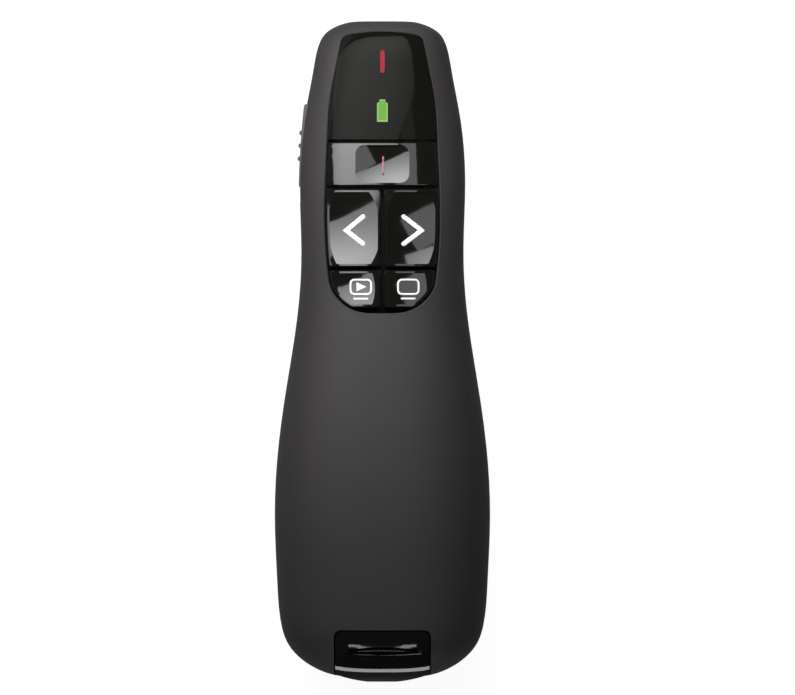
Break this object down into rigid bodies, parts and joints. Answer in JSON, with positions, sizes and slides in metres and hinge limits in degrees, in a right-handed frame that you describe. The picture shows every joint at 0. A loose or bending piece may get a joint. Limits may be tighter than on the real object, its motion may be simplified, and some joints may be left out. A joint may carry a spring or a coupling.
{
  "type": "wireless presentation clicker",
  "caption": "Hand-held presentation remote with glossy keys and window, side power slider, nose laser, battery bay and a receiver stowed in its tail.",
  "frame": {"origin": "centre of the footprint, on the plane of the flat underside it rests on", "axes": "+Y towards the laser nose, +Z out of the key face, +X to the right seen from above with the nose away"},
  "size_m": [0.0378, 0.1153, 0.027],
  "materials": {
    "soft_touch_shell": "soft-touch matte",
    "gloss_black": "high gloss",
    "slider_grey": "satin",
    "inner_black_plastic": "matte",
    "circuit_board": "solder mask",
    "plated_steel": "plated",
    "brass_barrel": "turned",
    "lens_glass": "clear",
    "red_light_pipe": "translucent",
    "green_light_pipe": "translucent",
    "led_epoxy": "clear epoxy",
    "cell_jacket": "satin sleeve"
  },
  "bodies": {
    "body": {"top_shell": "soft_touch_shell", "bottom_shell": "soft_touch_shell", "display_window": "gloss_black", "key_carrier": "inner_black_plastic", "main_board": "circuit_board", "tact_switches": "inner_black_plastic", "board_chips": "inner_black_plastic", "indicator_leds": "led_epoxy", "laser_light_bar": "red_light_pipe", "battery_light": "green_light_pipe", "laser_barrel": "brass_barrel", "laser_diode": "plated_steel", "laser_bezel": "inner_black_plastic", "laser_lens": "lens_glass", "battery_left": "cell_jacket", "battery_right": "cell_jacket", "front_contacts": "plated_steel", "rear_contacts": "plated_steel", "receiver_dock": "inner_black_plastic", "power_switch_body": "inner_black_plastic"},
    "battery_door": {"battery_door": "soft_touch_shell"},
    "power_slider": {"power_slider": "slider_grey", "power_switch_lever": "plated_steel"},
    "receiver": {"receiver_top_cover": "gloss_black", "receiver_bottom_cover": "gloss_black", "receiver_board": "circuit_board", "receiver_plug_shell": "plated_steel", "receiver_plug_tongue": "inner_black_plastic", "receiver_plug_contacts": "brass_barrel"},
    "laser_key": {"laser_button": "gloss_black", "laser_plunger": "inner_black_plastic"},
    "back_key": {"back_button": "gloss_black", "back_plunger": "inner_black_plastic"},
    "forward_key": {"forward_button": "gloss_black", "forward_plunger": "inner_black_plastic"},
    "slideshow_key": {"slideshow_button": "gloss_black", "slideshow_plunger": "inner_black_plastic"},
    "blank_screen_key": {"blank_screen_button": "gloss_black", "blank_screen_plunger": "inner_black_plastic"}
  },
  "joints": [
    {"name": "laser_press", "type": "slide", "parent": "body", "child": "laser_key", "axis": [0, 0, -1], "range_m": [0, 0.0005], "stiffness_N_per_m": 1200, "springref_m": -0.0004},
    {"name": "back_press", "type": "slide", "parent": "body", "child": "back_key", "axis": [0, 0, -1], "range_m": [0, 0.0005], "stiffness_N_per_m": 1200, "springref_m": -0.0004},
    {"name": "forward_press", "type": "slide", "parent": "body", "child": "forward_key", "axis": [0, 0, -1], "range_m": [0, 0.0005], "stiffness_N_per_m": 1200, "springref_m": -0.0004},
    {"name": "slideshow_press", "type": "slide", "parent": "body", "child": "slideshow_key", "axis": [0, 0, -1], "range_m": [0, 0.0005], "stiffness_N_per_m": 1200, "springref_m": -0.0004},
    {"name": "blank_screen_press", "type": "slide", "parent": "body", "child": "blank_screen_key", "axis": [0, 0, -1], "range_m": [0, 0.0005], "stiffness_N_per_m": 1200, "springref_m": -0.0004},
    {"name": "power_slide", "type": "slide", "parent": "body", "child": "power_slider", "axis": [-0.0645, -0.9979, 0], "range_m": [0, 0.0025]},
    {"name": "receiver_pull", "type": "slide", "parent": "body", "child": "receiver", "axis": [0, -1, 0], "range_m": [0, 0.066]},
    {"name": "door_lift", "type": "slide", "parent": "body", "child": "battery_door", "axis": [0, 0, -1], "range_m": [0, 0.02]}
  ]
}
